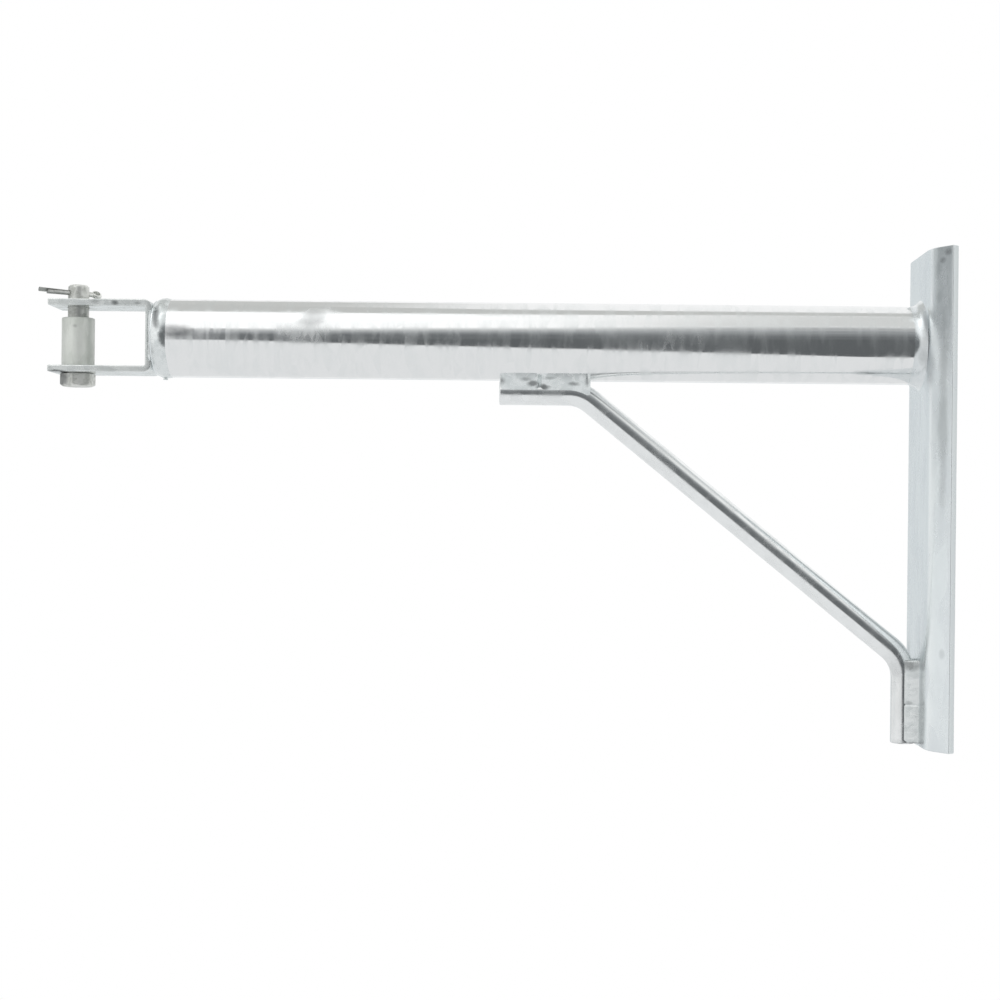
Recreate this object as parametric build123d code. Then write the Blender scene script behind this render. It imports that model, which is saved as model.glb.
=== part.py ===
from build123d import *
from math import acos, atan2, cos, degrees, radians, sin, sqrt, tan
import os

os.makedirs("parts", exist_ok=True)

# A welded, galvanised extension arm that holds an aerial cable away from a pole.
# All sizes are in millimetres. +Z is up and the arm points along -X.
# The origin is on the tube's axis, in the plane where the plate's wings meet the pole.

# Arm tube and the disc that closes its outer end
tube_outer = 60.3
tube_wall = 3.6
tube_length = 587.0
cap_outer = 58.0
cap_thick = 6.0

# Pole plate: a flat web with two short wings, folded from one strip
plate_thick = 6.0
plate_web = 80.0
plate_splay = 35.0
plate_depth = 18.0
plate_above = 70.0
plate_below = 310.0
plate_fold = 12.0

# Brace: one round bar with a land under the tube and a land on the web
brace_size = 19.0
brace_reach = 262.5
brace_top_land = 63.5
brace_foot_land = 65.0
brace_foot_inset = 1.0
brace_bend = 30.0

# Clevis strap: a flat bar bent to a U, with its back on the end cap
strap_width = 40.0
strap_thick = 5.0
strap_gap = 46.0
strap_length = 80.0
strap_bend = 1.5
strap_end_to_pin = 18.5

# Clevis pin: a plain shank with a hexagon head below and a cross hole above
pin_size = 16.0
pin_slack = 0.5
pin_stand = 12.5
pin_chamfer = 1.5
head_flats = 24.0
head_height = 10.0
head_chamfer_angle = 30.0
head_face_share = 0.95
head_turn = 27.0
cross_hole_height = 6.2
cross_hole_turn = 40.0
eye_roll = 45.0

# Spacer sleeve that turns on the pin and stands on the lower leg
sleeve_outer = 25.0
sleeve_bore = 17.0
sleeve_length = 37.6
sleeve_chamfer = 0.6

# Split pin: one half-round wire, bent to an eye and two legs
wire_size = 3.8
wire_slack = 0.3
wire_split = 0.1
eye_inside = 2.2
eye_neck = 2.5
eye_standoff = 3.0
long_leg = 32.0
short_leg = 26.0
leg_splay = 1.5
leg_bend = 25.0
leg_straight = 1.0

# Welds
ring_leg = 6.0
ring_bulge = 0.9
cap_bead_height = 1.6
cap_bead_on_tube = 4.0
cap_bead_on_cap = 5.0
groove_tube_toe_angle = 33.0
groove_bar_toe_angle = 10.0
groove_web_toe = 14.5
groove_root = 4.5
groove_root_sink = 2.2
groove_toe_sink = 0.8
groove_rise = 1.2
groove_overrun = 7.0
groove_end_taper = 4.0
groove_end_share = 0.6
groove_waist_share = 0.85
strap_bead = 4.0
strap_bead_sides = 12
strap_bead_tip_share = 0.5
strap_bead_taper = 6.0
bead_inset = 1.0

# Gap left between faces that turn on each other
running_gap = 0.3

# Places that follow from the sizes above
tube_radius = tube_outer / 2
bar_radius = brace_size / 2
pin_radius = pin_size / 2
web_face = -plate_depth
tube_end = web_face - tube_length
cap_face = tube_end - cap_thick
leg_tip = cap_face - strap_length
pin_x = leg_tip + strap_end_to_pin
leg_inside = strap_gap / 2
leg_outside = leg_inside + strap_thick
brace_z = -(tube_radius + bar_radius)
brace_x = web_face - bar_radius
brace_tip = web_face - brace_reach - brace_top_land
brace_foot = -(plate_below - brace_foot_inset)
cross_hole_z = leg_outside + cross_hole_height


def save(shape, node):
    shape.label = node
    export_step(shape, f"parts/{node}.step")


def bent_flat(corners, radius, width, thick, width_direction):
    """A flat bar bent through the corners of its middle line."""
    path = FilletPolyline(*corners, radius=radius)
    start = Plane(origin=path @ 0, x_dir=width_direction, z_dir=path % 0)
    return sweep(start * Rectangle(width, thick), path=path)


def make_arm_tube():
    wall = Circle(tube_radius) - Circle(tube_radius - tube_wall)
    return Pos(tube_end, 0, 0) * extrude(Plane.YZ * wall, tube_length)


def make_end_cap():
    return Pos(cap_face, 0, 0) * extrude(Plane.YZ * Circle(cap_outer / 2), cap_thick)


def make_pole_plate():
    """The wings are cut square, so each one meets the pole with its inner corner."""
    splay = radians(plate_splay)
    middle_x = web_face + plate_thick / 2
    toe_x = -plate_thick / 2 * cos(splay)
    fold_y = plate_web / 2 - plate_thick / 2 * tan(splay / 2)
    toe_y = fold_y + (toe_x - middle_x) / tan(splay)
    middle_z = (plate_above - plate_below) / 2
    corners = [
        (toe_x, -toe_y, middle_z),
        (middle_x, -fold_y, middle_z),
        (middle_x, fold_y, middle_z),
        (toe_x, toe_y, middle_z),
    ]
    height = plate_above + plate_below
    fold = plate_fold + plate_thick / 2
    return bent_flat(corners, fold, height, plate_thick, (0, 0, 1))


def make_brace_bar():
    """The bar lies against the tube's underside and against the web, with a bend between."""
    corners = [
        (brace_tip, 0, brace_z),
        (web_face - brace_reach, 0, brace_z),
        (brace_x, 0, brace_foot + brace_foot_land),
        (brace_x, 0, brace_foot),
    ]
    path = FilletPolyline(*corners, radius=brace_bend)
    return sweep(Plane(origin=path @ 0, z_dir=path % 0) * Circle(bar_radius), path=path)


def make_clevis_strap():
    middle_z = (leg_inside + leg_outside) / 2
    back_x = cap_face - strap_thick / 2
    corners = [
        (leg_tip, 0, middle_z),
        (back_x, 0, middle_z),
        (back_x, 0, -middle_z),
        (leg_tip, 0, -middle_z),
    ]
    strap = bent_flat(corners, strap_bend + strap_thick / 2, strap_width, strap_thick, (0, 1, 0))
    hole = Pos(pin_x, 0, 0) * Cylinder(pin_radius + pin_slack, 4 * leg_outside)
    return strap - hole


def make_pin_head(seat_z):
    """A hexagon whose lower corners are turned off to a cone."""
    hexagon = RegularPolygon(head_flats / 2, 6, major_radius=False, rotation=head_turn)
    block = Pos(0, 0, seat_z - head_height) * extrude(hexagon, head_height)
    corner = head_flats / sqrt(3)
    face = head_face_share * head_flats / 2
    drop = (corner - face) * tan(radians(head_chamfer_angle))
    outline = Polyline(
        (0, seat_z),
        (corner, seat_z),
        (corner, seat_z - head_height + drop),
        (face, seat_z - head_height),
        (0, seat_z - head_height),
        close=True,
    )
    turned = revolve(make_face(Plane.XZ * outline), axis=Axis.Z)
    return block & turned


def make_clevis_pin():
    seat_z = -leg_outside - running_gap
    top_z = leg_outside + pin_stand
    shank = Pos(0, 0, seat_z) * extrude(Circle(pin_radius), top_z - seat_z)
    shank = chamfer(shank.edges().sort_by(Axis.Z)[-1], pin_chamfer)
    cross = Rot(0, 90, 0) * Cylinder(wire_size / 2 + wire_slack, 2 * pin_size)
    pin = shank + make_pin_head(seat_z) - Pos(0, 0, cross_hole_z) * Rot(0, 0, cross_hole_turn) * cross
    return Pos(pin_x, 0, 0) * pin


def make_pin_sleeve():
    wall = Circle(sleeve_outer / 2) - Circle(sleeve_bore / 2)
    sleeve = Pos(pin_x, 0, -leg_inside + running_gap) * extrude(wall, sleeve_length)
    rims = sleeve.edges().filter_by(GeomType.CIRCLE).sort_by(SortBy.RADIUS)[-2:]
    return chamfer(rims, sleeve_chamfer)


def make_split_pin():
    """The wire runs in along the long leg, round the eye and out along the short leg."""
    wire_radius = wire_size / 2
    flare = degrees(acos((eye_neck + wire_split) / (eye_neck + eye_inside)))
    neck_x = pin_radius + eye_standoff
    bend_x = -(pin_radius + leg_straight)
    splay = radians(leg_splay)
    rise_x = bend_x - leg_bend * sin(splay)
    rise_y = wire_split + leg_bend * (1 - cos(splay))
    long_tip = (-long_leg, rise_y + (rise_x + long_leg) * tan(splay))
    short_tip = (-short_leg, -rise_y - (rise_x + short_leg) * tan(splay))

    long_end = Line(long_tip, (rise_x, rise_y))
    long_bend = JernArc(long_end @ 1, long_end % 1, leg_bend, leg_splay)
    inward = Line(long_bend @ 1, (neck_x, wire_split))
    neck_in = JernArc(inward @ 1, inward % 1, eye_neck, flare)
    eye = JernArc(neck_in @ 1, neck_in % 1, eye_inside, -(180 + 2 * flare))
    neck_out = JernArc(eye @ 1, eye % 1, eye_neck, flare)
    outward = Line(neck_out @ 1, (bend_x, -wire_split))
    short_bend = JernArc(outward @ 1, outward % 1, leg_bend, leg_splay)
    short_end = Line(short_bend @ 1, short_tip)
    path = Wire([long_end, long_bend, inward, neck_in, eye, neck_out, outward, short_bend, short_end])

    heading = long_end % 0
    start = Plane(origin=long_tip, x_dir=(-heading.Y, heading.X, 0), z_dir=heading)
    half_round = Circle(wire_radius) - Pos(-wire_radius, 0) * Rectangle(wire_size, 2 * wire_size)
    wire = sweep(start * half_round, path=path)
    return Pos(pin_x, 0, cross_hole_z) * Rot(0, 0, cross_hole_turn) * Rot(eye_roll, 0, 0) * wire


def make_groove_run(length, other_toe, other_toe_sunk, bar_drop, place):
    """A bead with a low crown, in the groove between the bar and the tube or the web.

    A section is drawn outward from the bar's middle plane and across from the bar to the other
    steel. It shrinks to its root at both ends and at the waist where the welder stopped.
    """
    angle = radians(groove_bar_toe_angle)
    stations = [
        (0, groove_end_share),
        (groove_end_taper, 1.0),
        (length / 2 - groove_end_taper, 1.0),
        (length / 2, groove_waist_share),
        (length / 2 + groove_end_taper, 1.0),
        (length - groove_end_taper, 1.0),
        (length, groove_end_share),
    ]
    sections = []
    for along, share in stations:
        drop = Vector(0, bar_drop(along))
        direction = Vector(cos(angle), sin(angle))
        bar_toe = direction * bar_radius - drop
        bar_toe_sunk = direction * (bar_radius - groove_toe_sink) - drop
        chord = bar_toe - other_toe
        outward = Vector(-chord.Y, chord.X).normalized()
        crown = (bar_toe + other_toe) / 2 + outward * groove_rise
        root = Vector(groove_root, bar_radius)
        corners = [
            root + Vector(0, groove_root_sink),
            root + (other_toe_sunk - root) * share,
            root + (crown - root) * share,
            root + (bar_toe_sunk - root) * share,
            root - Vector(0, groove_root_sink) - drop,
        ]
        outline = Polyline(*[place(along, corner.X, corner.Y) for corner in corners], close=True)
        sections.append(make_face(outline))
    return loft(sections, ruled=True)


def make_tube_to_plate_weld():
    """A ring in the corner between the tube and the web, with its face a little proud."""
    crown = ring_leg / 2 + ring_bulge * sqrt(0.5)
    outline = Polyline(
        (web_face, tube_radius),
        (web_face - ring_leg, tube_radius),
        (web_face - crown, tube_radius + crown),
        (web_face, tube_radius + ring_leg),
        close=True,
    )
    return revolve(make_face(outline), axis=Axis.X)


def make_cap_to_tube_weld():
    """A ring over the step from the tube's end to the cap's rim, proud of the tube all round."""
    crown = tube_radius + cap_bead_height
    slope = (cap_bead_on_tube + cap_bead_on_cap) / 4
    outline = Polyline(
        (tube_end, cap_outer / 2),
        (tube_end, tube_radius),
        (tube_end + cap_bead_on_tube, tube_radius),
        (tube_end + cap_bead_on_tube - slope, crown),
        (tube_end - cap_bead_on_cap + slope, crown),
        (tube_end - cap_bead_on_cap, cap_outer / 2),
        close=True,
    )
    return revolve(make_face(outline), axis=Axis.X)


def make_strap_weld(side, strap, cap):
    """A run down one side of the strap's back, in the corner with the cap."""
    half = sqrt((cap_outer / 2) ** 2 - (strap_width / 2) ** 2) - bead_inset
    stations = [
        (-half, strap_bead_tip_share),
        (strap_bead_taper - half, 1.0),
        (half - strap_bead_taper, 1.0),
        (half, strap_bead_tip_share),
    ]
    facets = [
        Plane.XY.offset(z) * RegularPolygon(share * strap_bead, strap_bead_sides)
        for z, share in stations
    ]
    placed = Pos(cap_face, side * strap_width / 2, 0) * loft(facets, ruled=True)
    outboard = Pos(cap_face - strap_length / 2, 0, 0) * Box(strap_length, cap_outer, cap_outer)
    return (placed & outboard) - strap - cap


def make_brace_to_tube_weld(side, brace):
    """A run in the groove between the brace's land and the tube, on into the start of the bend."""
    turn = atan2(brace_foot + brace_foot_land - brace_z, brace_x - web_face + brace_reach)
    bend_start = brace_top_land - bead_inset - brace_bend * tan(-turn / 2)
    angle = radians(groove_tube_toe_angle)
    tube_middle = Vector(0, bar_radius + tube_radius)
    direction = Vector(sin(angle), -cos(angle))

    def bar_drop(along):
        past = max(0, along - bend_start)
        return brace_bend - sqrt(brace_bend ** 2 - past ** 2)

    def place(along, out, across):
        return (brace_tip + bead_inset + along, side * out, brace_z + across)

    run = make_groove_run(
        brace_top_land + groove_overrun - bead_inset,
        tube_middle + direction * tube_radius,
        tube_middle + direction * (tube_radius - groove_toe_sink),
        bar_drop,
        place,
    )
    inside_tube = Pos(tube_end, 0, 0) * extrude(Plane.YZ * Circle(tube_radius), tube_length)
    return run - inside_tube - brace


def make_brace_to_plate_weld(side, brace):
    """A run in the groove between the brace's foot and the web."""

    def bar_drop(along):
        return 0

    def place(along, out, across):
        return (brace_x + across, side * out, brace_foot + bead_inset + along)

    run = make_groove_run(
        brace_foot_land - bead_inset,
        Vector(groove_web_toe, bar_radius),
        Vector(groove_web_toe, bar_radius + groove_toe_sink),
        bar_drop,
        place,
    )
    in_front = Pos(web_face - brace_size, 0, brace_foot + brace_foot_land / 2) * Box(
        2 * brace_size, 4 * brace_size, 2 * brace_foot_land
    )
    return (run & in_front) - brace


tube_end_cap = make_end_cap()
brace_bar = make_brace_bar()
clevis_strap = make_clevis_strap()

save(make_arm_tube(), "arm_tube")
save(tube_end_cap, "tube_end_cap")
save(make_pole_plate(), "pole_plate")
save(brace_bar, "brace_bar")
save(clevis_strap, "clevis_strap")
save(make_clevis_pin(), "clevis_pin")
save(make_pin_sleeve(), "pin_sleeve")
save(make_split_pin(), "split_pin")
save(make_tube_to_plate_weld(), "tube_to_plate_weld")
save(make_cap_to_tube_weld(), "cap_to_tube_weld")

# The near side is -Y and the far side is +Y
for name, side in (("near", -1), ("far", 1)):
    save(make_strap_weld(side, clevis_strap, tube_end_cap), f"strap_weld_{name}")
    save(make_brace_to_tube_weld(side, brace_bar), f"brace_to_tube_weld_{name}")
    save(make_brace_to_plate_weld(side, brace_bar), f"brace_to_plate_weld_{name}")
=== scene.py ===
from math import acos, atan2, cos, pi, radians, sin, sqrt, tan

import bmesh
import bpy
from mathutils import Matrix, Vector, noise


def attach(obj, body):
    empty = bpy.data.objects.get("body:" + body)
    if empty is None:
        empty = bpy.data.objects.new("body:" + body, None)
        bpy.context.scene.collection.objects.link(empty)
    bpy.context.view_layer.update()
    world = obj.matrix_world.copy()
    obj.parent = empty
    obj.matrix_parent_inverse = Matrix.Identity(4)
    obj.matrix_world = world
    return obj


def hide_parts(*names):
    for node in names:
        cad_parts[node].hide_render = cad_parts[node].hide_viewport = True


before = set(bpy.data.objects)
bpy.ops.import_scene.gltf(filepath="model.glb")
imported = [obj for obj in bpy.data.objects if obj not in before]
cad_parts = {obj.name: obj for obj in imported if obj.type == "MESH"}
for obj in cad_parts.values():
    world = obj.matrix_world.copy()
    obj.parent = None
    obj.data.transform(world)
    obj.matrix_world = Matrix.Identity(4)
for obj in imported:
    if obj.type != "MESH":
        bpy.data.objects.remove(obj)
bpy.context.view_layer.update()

# Sizes are written in millimetres, and MM turns them into Blender's metres.
# The arm points along -X and +Z is up. The near side, which faces the camera, is -Y.
MM = 0.001

TUBE_RADIUS = 30.15
TUBE_WALL = 3.6
WEB_FACE = -18.0
TUBE_END = -605.0
CAP_RADIUS = 29.0
CAP_FACE = -611.0

PLATE_THICK = 6.0
PLATE_WEB = 80.0
PLATE_SPLAY = 35.0
PLATE_TOP = 70.0
PLATE_BOTTOM = -310.0
PLATE_FOLD = 24.0
CUT_EDGE = 0.8

BAR_RADIUS = 9.5
BAR_REACH = 262.5
BAR_TOP_LAND = 63.5
BAR_FOOT_LAND = 65.0
BAR_BEND = 30.0
BAR_FOOT = -309.0
BAR_EDGE = 1.0

STRAP_WIDTH = 40.0
STRAP_THICK = 5.0
LEG_INSIDE = 23.0
LEG_OUTSIDE = 28.0
LEG_TIP = -691.0
STRAP_BEND = 1.5

PIN_X = -672.5
PIN_RADIUS = 8.0
PIN_HOLE_RADIUS = 8.5
PIN_SEAT = -28.3
PIN_TOP = 40.5
HEAD_FLATS = 24.0
HEAD_HEIGHT = 10.0
HEAD_TURN = 27.0
HEAD_CORNER_CUT = 0.25
HEAD_EDGE = 0.4
HEAD_FACE_SHARE = 0.95
HEAD_CHAMFER = 30.0
CROSS_HOLE_Z = 34.2
CROSS_HOLE_TURN = 40.0
EYE_ROLL = 45.0
CROSS_HOLE_RADIUS = 2.2

SLEEVE_OUTER = 12.5
SLEEVE_BORE = 8.5
SLEEVE_BOTTOM = -22.7
SLEEVE_LENGTH = 37.6
SLEEVE_EDGE = 0.7


# Finishes


def linear(hex_colour):
    """An sRGB hex colour as the linear red, green, blue and alpha that Blender's sockets take."""
    parts = [int(hex_colour[i : i + 2], 16) / 255 for i in (1, 3, 5)]
    return [c / 12.92 if c <= 0.04045 else ((c + 0.055) / 1.055) ** 2.4 for c in parts] + [1.0]


def add(tree, kind, inputs=None, **settings):
    """Adds one node. An input that is a socket gets a link, and any other value is set on it."""
    node = tree.nodes.new(kind)
    for name, value in settings.items():
        setattr(node, name, value)
    for name, value in (inputs or {}).items():
        if isinstance(value, bpy.types.NodeSocket):
            tree.links.new(value, node.inputs[name])
        else:
            node.inputs[name].default_value = value
    return node


def blank_finish(name):
    """A material with an empty tree, and that tree."""
    material = bpy.data.materials.new(name)
    material.use_nodes = True
    material.node_tree.nodes.clear()
    return material, material.node_tree


def per_metre(millimetres):
    """The pattern scale at which one cell is this many millimetres wide."""
    return 1 / (millimetres * MM)


# A mark's edge is pushed in and out by this much of the clouds, and the mark fades between the two
# distances from its centre, counted in its own size with that push.
MARK_RAGGED = 1.6
MARK_GONE = 1.8
MARK_FULL = 1.0


def blots(tree, place, clouds, marks):
    """One factor for uneven blots. Each mark has its centre and its three sizes, in mm, and its
    strength."""
    total = None
    for centre, size, strength in marks:
        away = add(tree, "ShaderNodeVectorMath", {
            0: place, 1: [c * MM for c in centre],
        }, operation="SUBTRACT")
        away = add(tree, "ShaderNodeVectorMath", {
            0: away.outputs[0], 1: [1 / (s * MM) for s in size],
        }, operation="MULTIPLY")
        away = add(tree, "ShaderNodeVectorMath", {0: away.outputs[0]}, operation="LENGTH")
        edge = add(tree, "ShaderNodeMath", {
            0: clouds, 1: MARK_RAGGED, 2: away.outputs["Value"],
        }, operation="MULTIPLY_ADD")
        blot = add(tree, "ShaderNodeMapRange", {
            "Value": edge.outputs[0], "From Min": MARK_GONE, "From Max": MARK_FULL,
            "To Min": 0.0, "To Max": strength,
        }, interpolation_type="SMOOTHSTEP").outputs["Result"]
        total = add(tree, "ShaderNodeMath", {
            0: blot, 1: total,
        }, operation="MAXIMUM").outputs[0] if total else blot
    return total


# How much the crystals' own tones count beside the clouds and runs, how many crystals lie across a
# run, and between which sums of the three the gloss goes
CRYSTAL_SHARE = 0.35
CRYSTALS_ACROSS = 1.4
GLOSSY = 0.95
DULLED = 1.5
# The grey that the dark marks mix in: ash from the zinc bath, frozen in the skin, at some marks,
# and painted shade and painted reflections at the others
ASH_AND_SHADE_GREY = "#6C6F70"


def zinc(
    name, bright, dull, smooth, rough, cloud, runs, run_depth,
    dull_marks=(), dark_marks=(), bare_metal=1.0,
):
    """Hot-dip zinc on steel. It is a bright metal whose crystals and drained runs differ in gloss,
    so they show as patches and mottling where something dark is reflected, and hardly elsewhere.

    bright and dull are the two zinc colours, smooth and rough the two roughnesses, cloud the patch
    size in mm, runs the three sizes of a drained run in mm, and run_depth its depth in mm.
    Dull marks lose their gloss, and dark marks mix in a dark grey: ash from the bath at some, and
    painted shade and painted reflections at others. Below one, bare_metal is the share that a thin
    matt bloom of oxide leaves, and the rest is the bloom's even grey.
    """
    material, tree = blank_finish(name)
    place = add(tree, "ShaderNodeTexCoord").outputs["Object"]

    stretched = add(tree, "ShaderNodeMapping", {
        "Vector": place, "Scale": [per_metre(size) for size in runs],
    })
    drained = add(tree, "ShaderNodeTexNoise", {
        "Vector": stretched.outputs["Vector"], "Scale": 1.0, "Detail": 3.0, "Roughness": 0.5,
    })
    crystals = add(tree, "ShaderNodeTexVoronoi", {
        "Vector": stretched.outputs["Vector"], "Scale": CRYSTALS_ACROSS, "Randomness": 1.0,
    })
    crystal_tone = add(tree, "ShaderNodeSeparateColor", {"Color": crystals.outputs["Color"]})
    clouds = add(tree, "ShaderNodeTexNoise", {
        "Vector": place, "Scale": per_metre(cloud), "Detail": 5.0, "Roughness": 0.6,
    })
    patchy = add(tree, "ShaderNodeMath", {
        0: crystal_tone.outputs["Red"], 1: CRYSTAL_SHARE, 2: clouds.outputs["Fac"],
    }, operation="MULTIPLY_ADD")
    patchy = add(tree, "ShaderNodeMath", {
        0: patchy.outputs[0], 1: drained.outputs["Fac"],
    }, operation="ADD")
    gloss_loss = add(tree, "ShaderNodeMapRange", {
        "Value": patchy.outputs[0], "From Min": GLOSSY, "From Max": DULLED,
    }, interpolation_type="SMOOTHSTEP").outputs["Result"]
    if dull_marks:
        gloss_loss = add(tree, "ShaderNodeMath", {
            0: gloss_loss, 1: blots(tree, place, clouds.outputs["Fac"], dull_marks),
        }, operation="ADD").outputs[0]

    colour = add(tree, "ShaderNodeMix", {
        "Factor": gloss_loss, 6: linear(bright), 7: linear(dull),
    }, data_type="RGBA").outputs[2]
    if dark_marks:
        colour = add(tree, "ShaderNodeMix", {
            "Factor": blots(tree, place, clouds.outputs["Fac"], dark_marks),
            6: colour, 7: linear(ASH_AND_SHADE_GREY),
        }, data_type="RGBA").outputs[2]
    roughness = add(tree, "ShaderNodeMapRange", {
        "Value": gloss_loss, "To Min": smooth, "To Max": rough,
    }, clamp=False)
    relief = add(tree, "ShaderNodeBump", {
        "Height": drained.outputs["Fac"], "Distance": run_depth * MM, "Strength": 1.0,
    })
    shader = add(tree, "ShaderNodeBsdfPrincipled", {
        "Base Color": colour, "Metallic": bare_metal, "Roughness": roughness.outputs["Result"],
        "Normal": relief.outputs["Normal"],
    })
    add(tree, "ShaderNodeOutputMaterial", {"Surface": shader.outputs["BSDF"]})
    return material


# The tube was drawn and dipped, so its zinc is the brightest, and its runs go round it.
BRIGHT_TUBE = zinc(
    "galvanised_drawn_tube", bright="#F0F1F1", dull="#EBEDED", smooth=0.08, rough=0.23,
    cloud=30.0, runs=(7.0, 26.0, 26.0), run_depth=0.02,
    dull_marks=[
        ((-483, -25, 17), (24, 11, 11), 1.5), ((-492, -29, 4), (33, 16, 15), 1.25),
        ((-413, -29, 1), (20, 14, 10), 0.5), ((-230, -29, 0), (75, 16, 12), 0.6),
        ((-569, -18, -23), (16, 8, 5), 0.3), ((-409, -24, -13), (12, 6, 5), 0.3),
        ((-452, -14, 27), (30, 8, 4), 0.3),
    ],
    # Painted reflection: a darker stretch of the dark band near the tube's end. Painted shade: the
    # second mark dims the highlight over the dull patch.
    dark_marks=[((-594, -30, 3), (24, 14, 6), 0.6), ((-487, -27, 13.5), (12, 10, 9), 0.42)],
)
# Rolled plate takes a slightly blue zinc with hardly any spangle, drained from top to bottom.
DIPPED_PLATE = zinc(
    "galvanised_rolled_plate", bright="#E5EAEB", dull="#DFE4E6", smooth=0.23, rough=0.31,
    cloud=30.0, runs=(14.0, 14.0, 50.0), run_depth=0.05,
    dark_marks=[
        ((-7, -53, 65), (4, 5, 3.5), 0.45), ((-10, -49, 59.5), (4, 5, 3.5), 0.45),
        ((-13, -45, 53), (4, 5, 12), 0.2), ((-13, -46, 33), (5, 6, 6), 0.12),
        ((-9, -52, -236), (4, 4, 5), 0.2),
        # Painted shade on the web beside the beads of the brace's foot
        ((-18, -24, -277), (10, 15, 62), 0.42), ((-18, 24, -277), (10, 15, 62), 0.42),
        # A stripe of painted shade down the near wing, and painted shade on the web round the
        # tube's ring
        ((-9, -51, -62), (7, 6, 95), 0.3), ((-18, -36, -14), (8, 10, 28), 0.25),
    ],
)
# The strap is flat bar, which drained quickly and is a little greyer.
DIPPED_STRAP = zinc(
    "galvanised_flat_bar", bright="#E2E5E4", dull="#D0D4D3", smooth=0.2, rough=0.36,
    cloud=12.0, runs=(8.0, 8.0, 6.0), run_depth=0.04,
    dark_marks=[
        ((-639, -20, 25), (4, 4, 3), 0.8), ((-655, -20, 26), (5, 4, 3), 0.4),
        # The mark at the lower leg is painted shade under its tip, and the next is painted shade
        # where the strap's back meets the cap
        ((-622, -20, 25), (4, 4, 2), 0.4), ((-684, -14, -28), (12, 16, 1.5), 0.9),
        ((-612, -20, -12), (4, 4, 11), 0.35),
    ],
)
# Round bar drains along its length and stays bright.
DIPPED_BAR = zinc(
    "galvanised_round_bar", bright="#F3F5F5", dull="#EDEFEF", smooth=0.17, rough=0.31,
    cloud=20.0, runs=(14.0, 8.0, 14.0), run_depth=0.03,
    # Darker round the foot's cut end, and a little darker over the whole foot
    dark_marks=[
        ((-24, -5, -309), (8, 6, 3), 0.9), ((-30, -8, -309), (4, 4, 2), 0.6),
        ((-28, 0, -280), (30, 30, 90), 0.22),
    ],
)
# Zinc pools on weld metal: smooth light lumps with a soft shine. Its dark marks are painted shade
# in the stops between the lumps of the tube grooves, and at the cap bead a painted reflection of
# the tube's dark band and painted shade where the bead meets the strap's back. The foot runs are
# darker round their ends and a little over their length.
DIPPED_WELD = zinc(
    "galvanised_weld_metal", bright="#E6EAEA", dull="#D8DDDD", smooth=0.22, rough=0.36,
    cloud=10.0, runs=(7.0, 7.0, 7.0), run_depth=0.05,
    dark_marks=[
        ((-324, -14, -30), (7, 8, 2.5), 0.5), ((-318, -12, -33), (6, 8, 3), 0.8),
        ((-311, -12, -36), (7, 8, 3), 0.9), ((-304, -14, -29), (8, 8, 2), 0.4),
        ((-342, -12, -31), (5, 8, 5), 0.7), ((-288, -12, -33), (7, 8, 2.5), 0.7),
        ((-276, -12, -31), (3, 8, 6), 0.5), ((-25, -10, -277), (5, 5, 3), 0.45),
        ((-24, -12, -277), (16, 16, 75), 0.16), ((-24, -12, -248), (13, 13, 9), 0.75),
        ((-22, -12, -309), (9, 8, 3), 0.7), ((-600, -28, -2), (5, 9, 9), 0.45),
        ((-606, -25, 13), (4, 14, 18), 0.8), ((-610, -22, -7), (5, 9, 15), 0.5),
    ],
)
# The ring at the web was washed over by the zinc, so it is as smooth as the tube.
WASHED_WELD = zinc(
    "galvanised_washed_fillet", bright="#E6EAEB", dull="#DCE1E3", smooth=0.18, rough=0.3,
    cloud=14.0, runs=(12.0, 20.0, 20.0), run_depth=0.04,
    # Painted shade on the ring's near side, where it meets the web
    dark_marks=[((-20, -33, -12), (8, 8, 30), 0.35)],
)
# Spun zinc on a forged pin is thin and rather grey, and its greys are set a little darker for the
# shade under the upper leg, which is painted shade. Its dark marks are painted shade on the head's
# left side and on the shank beneath the upper leg.
SPUN_PIN = zinc(
    "spun_galvanised_forged_pin", bright="#DFE0DC", dull="#C1C3BE", smooth=0.42, rough=0.58,
    cloud=6.0, runs=(4.0, 4.0, 4.0), run_depth=0.06,
    dark_marks=[((-683, -8, -33), (11, 15, 9), 0.75), ((-672, -8, 19), (20, 20, 12), 0.25)],
    bare_metal=0.85,
)
# A cut length of tube whose dull, even zinc has bloomed.
DULL_SLEEVE = zinc(
    "dull_zinc_cut_tube", bright="#DEE1DC", dull="#D2D6D0", smooth=0.48, rough=0.6,
    cloud=10.0, runs=(5.0, 5.0, 18.0), run_depth=0.05,
    dark_marks=[((-672, -12, 8), (3, 4, 2), 0.35)], bare_metal=0.45,
)
# Drawn wire with a thin plated zinc, scratched dull when it is bent.
PLATED_WIRE = zinc(
    "zinc_plated_drawn_wire", bright="#EDEEEA", dull="#D4D5D0", smooth=0.3, rough=0.48,
    cloud=5.0, runs=(2.0, 2.0, 2.0), run_depth=0.05,
    # Darker towards the legs' tips
    dark_marks=[((-697, -20, 34), (40, 40, 20), 0.55)],
)


# Shapes


def loft(rings, closed=False):
    """Points and faces of a skin over rings that have as many points each. Open ends get caps."""
    size = len(rings[0])
    points = [point for ring in rings for point in ring]
    faces = []
    for i in range(len(rings) if closed else len(rings) - 1):
        here = i * size
        there = (i + 1) % len(rings) * size
        for j in range(size):
            k = (j + 1) % size
            faces.append((here + j, here + k, there + k, there + j))
    if not closed:
        for start in (0, len(points) - size):
            for j in range(size // 2 - 1):
                k = size - 1 - j
                faces.append((start + j, start + j + 1, start + k - 1, start + k))
    return points, faces


def placed(name, data):
    """An object in the scene that shows this mesh, lamp or camera."""
    made = bpy.data.objects.new(name, data)
    bpy.context.scene.collection.objects.link(made)
    return made


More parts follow.
